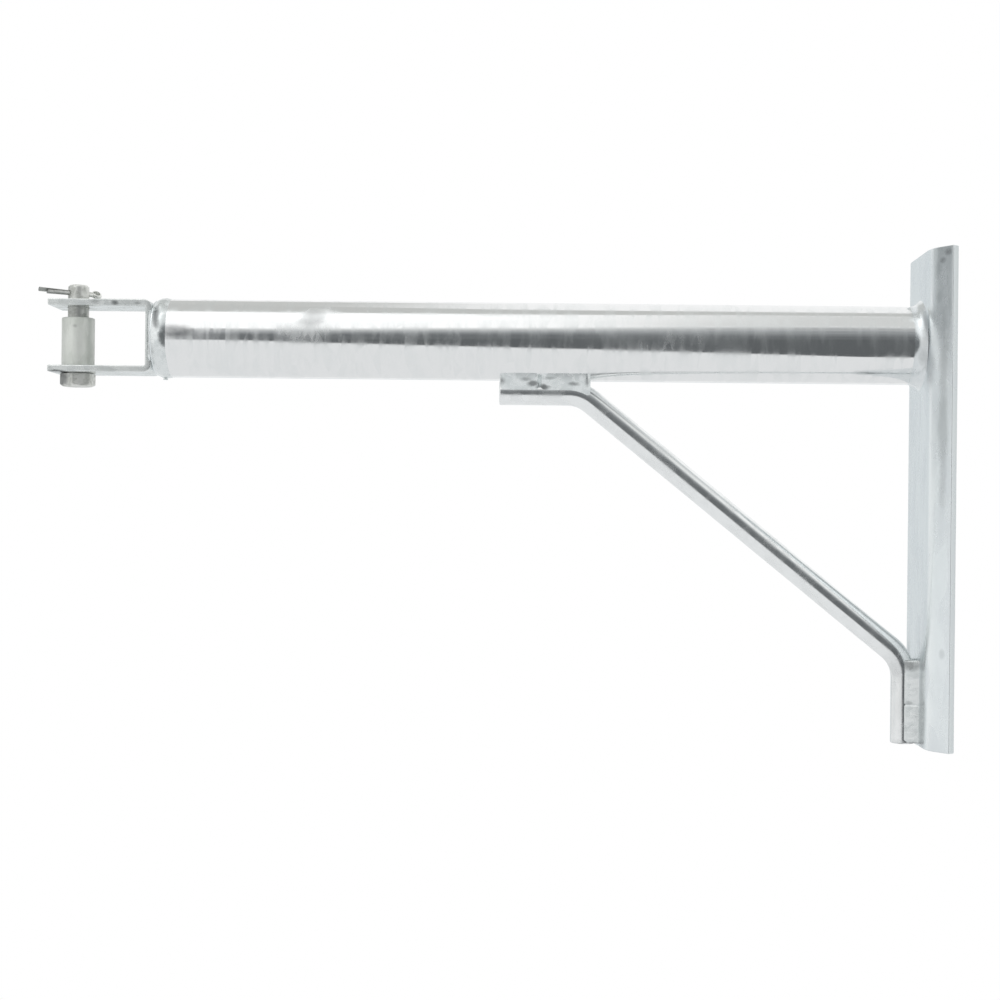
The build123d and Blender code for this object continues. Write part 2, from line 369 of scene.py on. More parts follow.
def piece(name, skin, finish, node, body="arm", wave=None, sharp=50):
    """Makes the mesh and puts it in the place of its CAD node. A wave has the three lengths and the
    height of the zinc's slow swells, in mm, and edges that turn more than sharp degrees stay crisp.
    """
    points, faces = skin
    mesh = bpy.data.meshes.new(name)
    mesh.from_pydata([Vector(point) * MM for point in points], [], faces)
    work = bmesh.new()
    work.from_mesh(mesh)
    bmesh.ops.recalc_face_normals(work, faces=work.faces)
    if wave:
        sizes, height = wave
        work.normal_update()
        moves = []
        for vertex in work.verts:
            spot = [c / MM / size for c, size in zip(vertex.co, sizes)]
            moves.append(vertex.normal * noise.noise(Vector(spot)) * height * MM)
        for vertex, move in zip(work.verts, moves):
            vertex.co += move
    work.to_mesh(mesh)
    work.free()
    mesh.shade_smooth()
    mesh.set_sharp_from_angle(angle=radians(sharp))
    mesh.materials.append(finish)
    made = placed(name, mesh)
    weighted = made.modifiers.new("even shading on flats", "WEIGHTED_NORMAL")
    weighted.keep_sharp = True
    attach(made, body)
    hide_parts(node)


def turned(profile, sides, closed=False):
    """Rings round the Z axis, for a profile of radius and height."""
    angles = [2 * pi * j / sides for j in range(sides)]
    rings = [[Vector((r * cos(a), r * sin(a), z)) for a in angles] for r, z in profile]
    return loft(rings, closed)


def moved(skin, matrix):
    """The skin carried to its place."""
    points, faces = skin
    return [matrix @ Vector(point) for point in points], faces


ALONG_ARM = Matrix.Rotation(pi / 2, 4, "Y")


def spaced(start, stop, step):
    """Even stations from start to stop, both included, as near to the step as they fit."""
    count = max(1, round(abs(stop - start) / step))
    return [start + (stop - start) * i / count for i in range(count + 1)]


def rounded_line(corners, radius, step):
    """Stations of place and heading along a flat line whose corners are turned on arcs."""
    corners = [Vector(corner) for corner in corners]
    stations = []
    start = corners[0]
    for before, corner, after in zip(corners, corners[1:], corners[2:]):
        heading = (corner - before).normalized()
        onward = (after - corner).normalized()
        turn = atan2(heading.x * onward.y - heading.y * onward.x, heading.dot(onward))
        cut = radius * tan(abs(turn) / 2)
        stop = corner - heading * cut
        length = (stop - start).length
        stations += [(start + heading * along, heading) for along in spaced(0, length, step)[:-1]]
        side = Vector((-heading.y, heading.x)) * (1 if turn > 0 else -1)
        centre = stop + side * radius
        for angle in spaced(0, turn, radians(6))[:-1]:
            rotate = Matrix.Rotation(angle, 2)
            stations.append((centre + rotate @ (stop - centre), rotate @ heading))
        start = corner + onward * cut
    heading = (corners[-1] - start).normalized()
    length = (corners[-1] - start).length
    stations += [(start + heading * along, heading) for along in spaced(0, length, step)]
    return stations


def strip_outline(line, half, edge, inset):
    """The outline of a flat strip that follows a line, with rounded edges, shrunk by inset."""
    sides = []
    for side in (1, -1):
        arcs = []
        for (point, heading), outward in ((line[0], -1), (line[-1], 1)):
            normal = Vector((-heading.y, heading.x)) * side
            centre = point - heading * outward * edge + normal * (half - edge)
            arcs.append([
                centre + (normal * sin(a) + heading * outward * cos(a)) * (edge - inset)
                for a in (radians(15), radians(45), radians(75))
            ])
        middle = [
            point + Vector((-heading.y, heading.x)) * side * (half - inset)
            for point, heading in line[1:-1]
        ]
        sides.append(arcs[0] + middle + arcs[1][::-1])
    return sides[0] + sides[1][::-1]


# An edge's outline shrinks by this share of its radius at most, so that it doesn't close up.
MOST_INSET = 0.96


def rounded_ends(start, stop, edge, step):
    """Heights along a piece, with the inset that rounds its two ends."""
    turn = [
        (edge * (1 - sin(a)), MOST_INSET * edge * (1 - cos(a)))
        for a in map(radians, (90, 60, 30))
    ]
    ends = [(start + away, inset) for away, inset in turn]
    ends += [(height, 0.0) for height in spaced(start + edge, stop - edge, step)]
    return ends + [(stop - away, inset) for away, inset in reversed(turn)]


def swept_round(line, radius, edge, sides):
    """Rings of a round bar along a line in the upright plane of the arm."""
    angles = [2 * pi * j / sides for j in range(sides)]
    first, last = line[0], line[-1]

    def ring(point, heading, size):
        up = Vector((-heading.y, heading.x))
        return [
            Vector((
                point.x + up.x * size * sin(a),
                size * cos(a),
                point.y + up.y * size * sin(a),
            ))
            for a in angles
        ]

    turn = [(edge * (1 - sin(a)), edge * (1 - cos(a))) for a in map(radians, (90, 60, 30, 0))]
    rings = [ring(first[0] + first[1] * away, first[1], radius - inset) for away, inset in turn]
    rings += [ring(point, heading, radius) for point, heading in line[1:-1]]
    rings += [
        ring(last[0] - last[1] * away, last[1], radius - inset) for away, inset in reversed(turn)
    ]
    return loft(rings)


def bored(skin, radius, reach, place):
    """The skin with a round hole cut through it, along a matrix's Z axis. The drill reaches as far
    to both sides."""
    mesh = bpy.data.meshes.new("blank")
    mesh.from_pydata(skin[0], [], skin[1])
    drill_mesh = bpy.data.meshes.new("drill")
    drill_skin = moved(turned([(radius, -reach), (radius, reach)], sides=48), place)
    drill_mesh.from_pydata(drill_skin[0], [], drill_skin[1])
    for solid in (mesh, drill_mesh):
        work = bmesh.new()
        work.from_mesh(solid)
        bmesh.ops.recalc_face_normals(work, faces=work.faces)
        work.to_mesh(solid)
        work.free()
    blank = placed("blank", mesh)
    drill = placed("drill", drill_mesh)
    cut = blank.modifiers.new("hole", "BOOLEAN")
    cut.object = drill
    cut.operation = "DIFFERENCE"
    cut.solver = "EXACT"
    bpy.context.view_layer.update()
    result = bpy.data.meshes.new_from_object(
        blank.evaluated_get(bpy.context.evaluated_depsgraph_get())
    )
    points = [vertex.co.copy() for vertex in result.vertices]
    faces = [tuple(face.vertices) for face in result.polygons]
    for solid in (blank, drill):
        bpy.data.objects.remove(solid)
    for used in (mesh, drill_mesh, result):
        bpy.data.meshes.remove(used)
    return points, faces


# Arm tube: a plain tube wall, closed by the cap and the web
tube_profile = [(TUBE_RADIUS, x) for x in spaced(TUBE_END, WEB_FACE, 4)]
tube_profile += [(TUBE_RADIUS - TUBE_WALL, x) for x in spaced(WEB_FACE, TUBE_END, 60)]
piece(
    "drawn_tube", moved(turned(tube_profile, sides=160, closed=True), ALONG_ARM), BRIGHT_TUBE,
    "arm_tube", wave=((45, 30, 30), 0.05),
)

# End cap: a sawn disc with its rims broken
cap_profile = [
    (CAP_RADIUS - inset, x) for x, inset in rounded_ends(CAP_FACE, TUBE_END, CUT_EDGE, 2)
]
piece(
    "sawn_disc", moved(turned(cap_profile, sides=120), ALONG_ARM), DIPPED_PLATE,
    "tube_end_cap",
)

# Pole plate: the flat web and its two wings, folded from one strip
splay = radians(PLATE_SPLAY)
middle_x = WEB_FACE + PLATE_THICK / 2
toe_x = -PLATE_THICK / 2 * cos(splay)
fold_y = PLATE_WEB / 2 - PLATE_THICK / 2 * tan(splay / 2)
toe_y = fold_y + (toe_x - middle_x) / tan(splay)
plate_line = rounded_line(
    [(toe_x, -toe_y), (middle_x, -fold_y), (middle_x, fold_y), (toe_x, toe_y)],
    radius=PLATE_FOLD + PLATE_THICK / 2, step=3,
)
plate_rings = [
    [Vector((p.x, p.y, z)) for p in strip_outline(plate_line, PLATE_THICK / 2, CUT_EDGE, inset)]
    for z, inset in rounded_ends(PLATE_BOTTOM, PLATE_TOP, CUT_EDGE, 4)
]
piece(
    "folded_plate", loft(plate_rings), DIPPED_PLATE, "pole_plate",
    wave=((16, 16, 30), 0.08),
)

# Brace: round bar with a land under the tube, a slope, and a land on the web
bar_z = -(TUBE_RADIUS + BAR_RADIUS)
bar_x = WEB_FACE - BAR_RADIUS
bar_line = rounded_line(
    [
        (WEB_FACE - BAR_REACH - BAR_TOP_LAND, bar_z), (WEB_FACE - BAR_REACH, bar_z),
        (bar_x, BAR_FOOT + BAR_FOOT_LAND), (bar_x, BAR_FOOT),
    ],
    radius=BAR_BEND, step=4,
)
piece(
    "bent_round_bar", swept_round(bar_line, BAR_RADIUS, BAR_EDGE, sides=64), DIPPED_BAR,
    "brace_bar", wave=((22, 10, 22), 0.06),
)

# Clevis strap: flat bar bent to a U, drilled for the pin
leg_middle = (LEG_INSIDE + LEG_OUTSIDE) / 2
back_x = CAP_FACE - STRAP_THICK / 2
strap_line = rounded_line(
    [
        (LEG_TIP, leg_middle), (back_x, leg_middle),
        (back_x, -leg_middle), (LEG_TIP, -leg_middle),
    ],
    radius=STRAP_BEND + STRAP_THICK / 2, step=2.5,
)
strap_rings = [
    [Vector((p.x, y, p.y)) for p in strip_outline(strap_line, STRAP_THICK / 2, CUT_EDGE, inset)]
    for y, inset in rounded_ends(-STRAP_WIDTH / 2, STRAP_WIDTH / 2, CUT_EDGE, 2.5)
]
strap_skin = bored(
    loft(strap_rings), PIN_HOLE_RADIUS, reach=40, place=Matrix.Translation((PIN_X, 0, 0)),
)
piece("bent_strap", strap_skin, DIPPED_STRAP, "clevis_strap")

# Clevis pin: chamfered shank with a cross hole, on a hexagon head turned off at its corners
PIN_SIDES = 144
pin_angles = [2 * pi * j / PIN_SIDES for j in range(PIN_SIDES)]
head_reach = []
for angle in pin_angles:
    from_flat = (angle - radians(HEAD_TURN)) % (pi / 3) - pi / 6
    corner = HEAD_FLATS / 2 / cos(pi / 6) - HEAD_CORNER_CUT
    head_reach.append(min(HEAD_FLATS / 2 / cos(from_flat), corner))
head_face = HEAD_FACE_SHARE * HEAD_FLATS / 2
head_bottom = PIN_SEAT - HEAD_HEIGHT
cone = [head_bottom + (reach - head_face) * tan(radians(HEAD_CHAMFER)) for reach in head_reach]


def pin_ring(reaches, heights):
    """One ring of the pin, with a reach and a height at each angle."""
    return [
        Vector((PIN_X + r * cos(a), r * sin(a), z))
        for r, a, z in zip(reaches, pin_angles, heights)
    ]


def even(value):
    """The same value at each of the pin's angles."""
    return [value] * len(pin_angles)


# The chamfered top, as radii and their depths below it
pin_rings = [
    pin_ring(even(radius), even(PIN_TOP - depth))
    for radius, depth in ((6.2, 0.0), (6.6, 0.1), (7.85, 1.3), (PIN_RADIUS, 1.7))
]
pin_rings += [pin_ring(even(PIN_RADIUS), even(z)) for z in spaced(PIN_TOP - 3, PIN_SEAT + 1, 2.5)]
# The head's seat, its six sides, the cone that takes off its corners, and its flat face
pin_rings += [
    pin_ring(even(PIN_RADIUS), even(PIN_SEAT)),
    pin_ring([r - HEAD_EDGE for r in head_reach], even(PIN_SEAT)),
    pin_ring(head_reach, even(PIN_SEAT - HEAD_EDGE)),
    pin_ring(head_reach, [z + HEAD_EDGE for z in cone]),
    pin_ring([r - 0.15 for r in head_reach], [z + 0.05 for z in cone]),
    pin_ring([r - 0.55 for r in head_reach], [z - 0.2 for z in cone]),
    pin_ring(even(head_face - HEAD_EDGE), even(head_bottom + 0.05)),
    pin_ring(even(head_face - 1.0), even(head_bottom)),
]
pin_skin = bored(
    loft(pin_rings), CROSS_HOLE_RADIUS, reach=20,
    place=Matrix.Translation((PIN_X, 0, CROSS_HOLE_Z))
    @ Matrix.Rotation(radians(CROSS_HOLE_TURN), 4, "Z") @ ALONG_ARM,
)
piece(
    "forged_pin", pin_skin, SPUN_PIN, "clevis_pin", body="pin", sharp=38,
)

# Spacer sleeve: a sawn length of tube with its rims broken
sleeve_top = SLEEVE_BOTTOM + SLEEVE_LENGTH
sleeve_profile = [
    (SLEEVE_OUTER - inset, z)
    for z, inset in rounded_ends(SLEEVE_BOTTOM, sleeve_top, SLEEVE_EDGE, 2.5)
]
sleeve_profile += [(SLEEVE_BORE, sleeve_top - 0.05), (SLEEVE_BORE, SLEEVE_BOTTOM + 0.05)]
piece(
    "sawn_sleeve",
    moved(turned(sleeve_profile, sides=96, closed=True), Matrix.Translation((PIN_X, 0, 0))),
    DULL_SLEEVE, "pin_sleeve", body="sleeve",
)

# Split pin: half-round wire bent to an eye and two legs, which lie flat against each other
WIRE_RADIUS = 1.9
WIRE_SPLIT = 0.1
EYE_INSIDE = 2.2
EYE_NECK = 2.5
EYE_STANDOFF = 3.0
LONG_LEG = 32.0
SHORT_LEG = 26.0
LEG_SPLAY = radians(1.5)
LEG_BEND = 25.0
# The wire's two long edges: where its round stops short, in radians, and how far its flat does
ROUND_STOP = 0.12
FLAT_STOP = 0.35


def arc(stations, radius, turn):
    """Carries a line on round an arc; a positive turn goes to the left."""
    point, heading = stations[-1]
    centre = point + Vector((-heading.y, heading.x)) * radius * (1 if turn > 0 else -1)
    for angle in spaced(0, turn, radians(9))[1:]:
        rotate = Matrix.Rotation(angle, 2)
        stations.append((centre + rotate @ (point - centre), rotate @ heading))


def straight(stations, length, step=3.0):
    """Carries a line straight on."""
    point, heading = stations[-1]
    stations += [(point + heading * along, heading) for along in spaced(0, length, step)[1:]]


flare = acos((EYE_NECK + WIRE_SPLIT) / (EYE_NECK + EYE_INSIDE))
bend_x = -(PIN_RADIUS + 1)
rise_x = bend_x - LEG_BEND * sin(LEG_SPLAY)
rise_y = WIRE_SPLIT + LEG_BEND * (1 - cos(LEG_SPLAY))
long_tip = Vector((-LONG_LEG, rise_y + (rise_x + LONG_LEG) * tan(LEG_SPLAY)))
wire_line = [(long_tip, Vector((cos(LEG_SPLAY), -sin(LEG_SPLAY))))]
straight(wire_line, (rise_x + LONG_LEG) / cos(LEG_SPLAY))
arc(wire_line, LEG_BEND, LEG_SPLAY)
straight(wire_line, PIN_RADIUS + EYE_STANDOFF - bend_x)
arc(wire_line, EYE_NECK, flare)
arc(wire_line, EYE_INSIDE, -(pi + 2 * flare))
arc(wire_line, EYE_NECK, flare)
straight(wire_line, PIN_RADIUS + EYE_STANDOFF - bend_x)
arc(wire_line, LEG_BEND, LEG_SPLAY)
straight(wire_line, (rise_x + SHORT_LEG) / cos(LEG_SPLAY))
half_round = [
    (WIRE_RADIUS * sin(a), WIRE_RADIUS * cos(a))
    for a in spaced(ROUND_STOP, pi - ROUND_STOP, 2 * ROUND_STOP)
]
wire_section = half_round + [(0.0, -WIRE_RADIUS + FLAT_STOP), (0.0, WIRE_RADIUS - FLAT_STOP)]
wire_rings = [
    [
        Vector((point.x - heading.y * out, point.y + heading.x * out, across))
        for out, across in wire_section
    ]
    for point, heading in wire_line
]
wire_place = (
    Matrix.Translation((PIN_X, 0, CROSS_HOLE_Z))
    @ Matrix.Rotation(radians(CROSS_HOLE_TURN), 4, "Z")
    @ Matrix.Rotation(radians(EYE_ROLL), 4, "X")
)
piece(
    "split_wire", moved(loft(wire_rings), wire_place), PLATED_WIRE, "split_pin",
    body="pin",
)


# Welds


# A bead's toes lie this far inside the steel, so no gap shows under them.
TOE_SINK = 0.15


def bead_face(toe_a, toe_b, root, bulge, skin, steps=14):
    """The points of a bead's section from toe to toe. A bulge below zero makes it hollow, and skin
    gives the small height of the zinc at a share of the way across."""
    chord = toe_b - toe_a
    out = Vector((-chord.y, chord.x)).normalized()
    if out.dot(toe_a - root) < 0:
        out = -out
    section = [root]
    for step in range(steps + 1):
        share = step / steps
        rise = (bulge + skin(share)) * sin(pi * share)
        section.append(toe_a + chord * share + out * (rise - TOE_SINK))
    return section


def ripple(along, across, pitch, height):
    """Height of a dipped bead's skin: slow ripples that bow forward, under soft lumps of zinc. The
    constants in the noise only pick parts of it that don't repeat each other."""
    drift = 0.5 * noise.noise(Vector((along / (3 * pitch), 7.3, 1.1)))
    phase = along / pitch + drift + 0.55 * (1 - (2 * across - 1) ** 2)
    wide = noise.noise(Vector((along / 11, across, 3.7)))
    small = noise.noise(Vector((along / 4, across * 2, 9.2)))
    return height * (0.3 * cos(2 * pi * phase) + 2.0 * wide + 0.7 * small)


# How fine a ring and a run of weld are along their length, over how many steps a ring's ripples
# close, and the pitch and height of a run's ripples
RING_STEP = 0.7
RUN_STEP = 0.6
RING_CLOSING = 24
RUN_PITCH = 5.0
RUN_RIPPLE = 0.1


def fillet_ring(toe_a, toe_b, root, bulge, pitch, height):
    """A ring of weld round the arm's axis, between two toes given as place along and radius."""
    toe_a, toe_b, root = Vector(toe_a), Vector(toe_b), Vector(root)
    girth = pi * (toe_a.y + toe_b.y)
    count = round(girth / RING_STEP)
    rings = []
    for i in range(count):
        angle = 2 * pi * i / count
        along = girth * i / count
        # The ripples fade across the last stretch into those at the start
        blend = min(1.0, (count - i) / RING_CLOSING)

        def skin(share):
            here = ripple(along, share, pitch, height)
            before = ripple(along - girth, share, pitch, height)
            return here * blend + before * (1 - blend)

        section = bead_face(toe_a, toe_b, root, bulge, skin)
        rings.append([
            Vector((p.x, -p.y * sin(angle), p.y * cos(angle))) for p in section
        ])
    return loft(rings, closed=True)


def drip(name, place, length, width, finish, node, steps=14):
    """A drop of zinc that froze as it hung, with its upper end sunk into the piece above it."""
    profile = []
    for i in range(steps + 1):
        share = i / steps
        swell = sqrt(max(0.0, 1 - max(0.0, share - 0.6) ** 2 / 0.16))
        neck = 0.8 + 0.2 * cos(2 * pi * share)
        profile.append((max(0.05, width * swell * neck), -length * share))
    piece(name, moved(turned(profile, sides=24), Matrix.Translation(place)), finish, node)


piece(
    "tube_to_web_fillet",
    fillet_ring(
        (WEB_FACE - 10.5, TUBE_RADIUS), (WEB_FACE, TUBE_RADIUS + 5.2),
        (WEB_FACE, TUBE_RADIUS), bulge=-1.5, pitch=9.0, height=0.04,
    ),
    WASHED_WELD, "tube_to_plate_weld",
)
piece(
    "cap_rim_bead",
    fillet_ring(
        (TUBE_END + 7.0, TUBE_RADIUS), (TUBE_END - 5.0, CAP_RADIUS),
        (TUBE_END - 1, CAP_RADIUS - 0.5), bulge=1.5, pitch=8.0, height=0.15,
    ),
    DIPPED_WELD, "cap_to_tube_weld",
)
drip(
    "cap_rim_drip", (TUBE_END + 1, 0, -TUBE_RADIUS - 0.2), length=2.2, width=2.6,
    finish=DIPPED_WELD, node="cap_to_tube_weld",
)

# The grooves beside the bar: how far round the tube and across the web a run reaches, how near the
# bar's middle plane its root lies, and the share of its section that is left in a gap
TUBE_TOE_ANGLE = radians(33)
WEB_TOE = 14.5
GROOVE_ROOT = 4.5
RUN_LEAST = 0.45

# The runs beside the strap's back: half their length, the stretch that tapers, their leg and how
# far they stand out
CORNER_RUN = 19.5
CORNER_TAPER = 6
CORNER_LEG = 4
CORNER_BULGE = 0.8


def groove_run(length, bar_toe_angle, other_toe, fall_at, bulge, lumps, place, seed):
    """A run of weld in the groove between the bar and the steel beside it. Its section is drawn
    outward from the bar's middle plane and across from the bar to that steel. The lumps are the
    stretches between the welder's stops, and where they leave a gap the run sinks out of sight."""
    rings = []
    toe = Vector((cos(bar_toe_angle), sin(bar_toe_angle))) * BAR_RADIUS
    for along in spaced(0, length, RUN_STEP):
        rise = 0.0
        for start, stop in lumps:
            share = min(1.0, max(0.0, (along - start) / (stop - start)))
            rise = max(rise, sin(pi * share) ** 0.4)
        fall = Vector((0, fall_at(along)))
        root = Vector((GROOVE_ROOT, BAR_RADIUS)) - fall / 2
        full = RUN_LEAST + (1 - RUN_LEAST) * min(1.0, 1.6 * rise)
        low = root + (toe - fall - root) * full
        high = root + (other_toe - root) * full
        section = bead_face(
            low, high, root, bulge * rise,
            lambda share: ripple(along + seed, share, RUN_PITCH, RUN_RIPPLE) * rise,
        )
        rings.append([place(along, p) for p in section])
    return loft(rings)


def level(along):
    """The bar's foot runs straight along the web."""
    return 0.0


def bar_fall(along):
    """How far the bar's bend has dropped it below its land."""
    past = max(0.0, along - bend_start)
    return BAR_BEND - sqrt(BAR_BEND ** 2 - past ** 2)


bar_tip = WEB_FACE - BAR_REACH - BAR_TOP_LAND
bar_turn = atan2(bar_z - BAR_FOOT - BAR_FOOT_LAND, bar_x - WEB_FACE + BAR_REACH)
bend_start = BAR_TOP_LAND - 1 - BAR_BEND * tan(bar_turn / 2)
tube_toe = Vector((
    TUBE_RADIUS * sin(TUBE_TOE_ANGLE), BAR_RADIUS + TUBE_RADIUS * (1 - cos(TUBE_TOE_ANGLE)),
))
for side_name, side in (("near", -1), ("far", 1)):
    piece(
        f"tube_groove_run_{side_name}",
        groove_run(
            length=BAR_TOP_LAND + 6, bar_toe_angle=radians(10), other_toe=tube_toe,
            fall_at=bar_fall, bulge=1.2, lumps=((-1, 31), (29.5, 71)), seed=20 * side,
            place=lambda along, p: Vector((bar_tip + 1 + along, side * p.x, bar_z + p.y)),
        ),
        DIPPED_WELD, f"brace_to_tube_weld_{side_name}",
    )
    piece(
        f"web_groove_run_{side_name}",
        groove_run(
            length=BAR_FOOT_LAND - 1, bar_toe_angle=radians(-7),
            other_toe=Vector((WEB_TOE, BAR_RADIUS)), fall_at=level, bulge=0.3,
            lumps=((-1, 32), (28, 51), (47, 65)), seed=60 * side,
            place=lambda along, p: Vector((bar_x + p.y, side * p.x, BAR_FOOT + 1 + along)),
        ),
        DIPPED_WELD, f"brace_to_plate_weld_{side_name}",
    )
    corner_rings = []
    for z in spaced(-CORNER_RUN, CORNER_RUN, RUN_STEP):
        end = CORNER_RUN - abs(z)
        full = 0.5 + 0.5 * sqrt(max(0.0, 1 - (1 - min(1.0, end / CORNER_TAPER)) ** 2))
        section = bead_face(
            Vector((-CORNER_LEG, 0)) * full, Vector((0, CORNER_LEG)) * full, Vector((0, 0)),
            CORNER_BULGE * full,
            lambda share: ripple(z + 33 * side, share, RUN_PITCH, RUN_RIPPLE),
        )
        corner_rings.append([
            Vector((CAP_FACE + p.x, side * (STRAP_WIDTH / 2 + p.y), z)) for p in section
        ])
    piece(
        f"strap_corner_run_{side_name}", loft(corner_rings), DIPPED_WELD,
        f"strap_weld_{side_name}",
    )


# Studio


def card(name, corners, tone, strength=1.0, far_tone=None, axis="X", fade=(0.0, 1.0)):
    """A card that only the metal's reflections see, as a photographer stands round bright metal.
    Its corners are in metres. With a far tone, its grey changes along an axis between the two
    places given by fade."""
    material, tree = blank_finish(name)
    glow = add(tree, "ShaderNodeEmission", {"Color": linear(tone), "Strength": strength})
    if far_tone:
        place = add(tree, "ShaderNodeTexCoord").outputs["Object"]
        along = add(tree, "ShaderNodeSeparateXYZ", {"Vector": place})
        share = add(tree, "ShaderNodeMapRange", {
            "Value": along.outputs[axis], "From Min": fade[0], "From Max": fade[1],
        }, interpolation_type="SMOOTHSTEP")
        mixed = add(tree, "ShaderNodeMix", {
            "Factor": share.outputs["Result"], 6: linear(tone), 7: linear(far_tone),
        }, data_type="RGBA")
        tree.links.new(mixed.outputs[2], glow.inputs["Color"])
    add(tree, "ShaderNodeOutputMaterial", {"Surface": glow.outputs["Emission"]})
    mesh = bpy.data.meshes.new(name)
    mesh.from_pydata(corners, [], [tuple(range(len(corners)))])
    mesh.materials.append(material)
    made = placed(name, mesh)
    made.visible_camera = False
    made.visible_diffuse = False
    made.visible_shadow = False


# The dark side of the studio, behind the camera: low at the arm's outer end and tall at the pole's.
# It is crisp below, and fades above and to the right through cards that stand behind each other.
for step, (tone, low_top, middle_top, high_top, shoulder, side) in enumerate((
    ("#606365", -0.30, 0.18, 0.45, (0.60, 0.45), 0.90),
    ("#6C6F71", 0.33, 0.62, 0.80, (0.65, 0.93), 1.05),
    ("#7F8284", 0.45, 0.80, 1.10, (0.85, 1.20), 1.20),
    ("#95989A", 0.60, 1.00, 1.60, (1.05, 1.60), 1.38),
    ("#B0B2B3", 0.80, 1.27, 2.25, (1.20, 2.20), 1.55),
    ("#D0D2D2", 0.93, 1.48, 2.60, (1.50, 2.60), 1.85),
    ("#EBECEC", 1.10, 1.70, 2.80, (2.00, 2.90), 2.40),
)):
    behind = -2.1 - 0.02 * step
    outline = [
        (-0.91, low_top), (-0.32, middle_top), (0.37, high_top), shoulder,
        (side, 0.6 * shoulder[1]), (side + 0.1, -2.2), (0.7, -2.0), (0.35, -1.70), (-0.32, -0.90),
        (-0.44, -0.80), (-0.60, -0.65), (-0.79, -0.47), (-0.91, -0.29),
    ]
    card(f"dark_card_{step}", [(x, behind, z) for x, z in outline], tone)
    if step:
        card(
            f"dark_end_{step}",
            [(x, behind, z) for x, z in (
                (-1.06, low_top - 0.06), (-0.91, low_top), (-0.91, -0.29), (-1.06, -0.33),
            )],
            "#9C9EA0", far_tone=tone, fade=(-1.04, -0.92),
        )
# A bright sheet from the front to overhead, which dims towards the pole
for name, corners in (
    ("front_sheet", ((-2.4, 0.5), (-2.4, 3.2))),
    ("top_sheet", ((-2.4, 3.2), (-0.1, 2.4))),
):
    (near_y, near_z), (far_y, far_z) = corners
    card(
        name,
        [(-3.6, near_y, near_z), (2.6, near_y, near_z), (2.6, far_y, far_z), (-3.6, far_y, far_z)],
        "#FFFFFF", strength=1.15, far_tone="#CDCECD", fade=(-0.5, 0.4),
    )
# The gap overhead between the front and the back of the studio, and the dimmer back beyond it
card(
    "overhead_gap",
    [(-1.3, -0.37, 2.39), (-0.84, -0.33, 2.39), (-0.32, -0.30, 2.39), (0.10, -0.04, 2.39),
     (1.8, 0.0, 2.39), (1.8, 0.75, 2.39), (0.10, 0.65, 2.39), (-0.32, 0.60, 2.39),
     (-0.62, 0.75, 2.39), (-1.3, 1.2, 2.39)],
    "#C9CAC8",
)
card(
    "overhead_back", [(-2.2, 0.4, 2.4), (0.0, 0.4, 2.4), (0.0, 3.4, 2.4), (-2.2, 3.4, 2.4)],
    "#CDCECC", far_tone="#FFFFFF", fade=(-0.9, -0.3),
)
# Pale sheet under the arm, whose front edge follows the lower edge of the dark side
card(
    "floor_sheet",
    [(-4.0, -9.0, -0.93), (-1.74, -6.83, -0.93), (-1.08, -4.14, -0.93), (-0.67, -3.02, -0.93),
     (-0.32, -2.36, -0.93), (-0.14, -1.79, -0.93), (0.01, -1.48, -0.93), (0.13, -1.25, -0.93),
     (0.18, -1.14, -0.93), (1.4, -1.0, -0.93), (1.4, 2.0, -0.93), (-4.0, 2.0, -0.93)],
    "#E9EAEB",
)
# The pole plate's side faces the left card, which is dark above and light below
card(
    "left_card", [(-3, -0.3, -0.6), (-3, 0.9, -0.6), (-3, 0.9, 3.2), (-3, -0.3, 3.2)],
    "#F6F8F9", far_tone="#96999B", axis="Z", fade=(-0.15, 0.42),
)
card(
    "left_far_card", [(-3, 0.9, -0.6), (-3, 2.3, -0.6), (-3, 2.3, 3.2), (-3, 0.9, 3.2)],
    "#FBFCFC", far_tone="#C2C5C6", axis="Z", fade=(-0.15, 0.42),
)
card(
    "right_card", [(3, -0.8, -1.2), (3, 2.4, -1.2), (3, 2.4, 2.2), (3, -0.8, 2.2)], "#DCDEDE",
)
card(
    "back_card", [(-2.6, 3.0, -0.9), (0.6, 3.0, -0.9), (0.6, 3.0, 1.0), (-2.6, 3.0, 1.0)],
    "#E2E6E8",
)
card(
    "grey_edge_card",
    [(-1.5, -2.0, -0.2), (-1.1, -2.0, -0.2), (-1.1, -2.0, 0.8), (-1.5, -2.0, 0.8)], "#D8DADA",
)


def seen(tree):
    """One for a ray that the camera sees straight, off something glossy or through something clear,
    and zero for the light that falls on things."""
    rays = add(tree, "ShaderNodeLightPath")
    straight_or_glossy = add(tree, "ShaderNodeMath", {
        0: rays.outputs["Is Camera Ray"], 1: rays.outputs["Is Glossy Ray"],
    }, operation="MAXIMUM")
    return add(tree, "ShaderNodeMath", {
        0: straight_or_glossy.outputs[0], 1: rays.outputs["Is Transmission Ray"],
    }, operation="MAXIMUM").outputs[0]


# White all round, and dimmer where it lights the object, so that pale zinc doesn't clip
world = bpy.data.worlds.new("white studio")
bpy.context.scene.world = world
world.use_nodes = True
sky = world.node_tree
sky.nodes.clear()
fill = add(sky, "ShaderNodeBackground", {"Color": linear("#FFFFFF"), "Strength": 0.7})
white = add(sky, "ShaderNodeBackground", {"Color": linear("#FFFFFF"), "Strength": 1.0})
both = add(sky, "ShaderNodeMixShader", {
    0: seen(sky), 1: fill.outputs[0], 2: white.outputs[0],
})
add(sky, "ShaderNodeOutputWorld", {"Surface": both.outputs[0]})

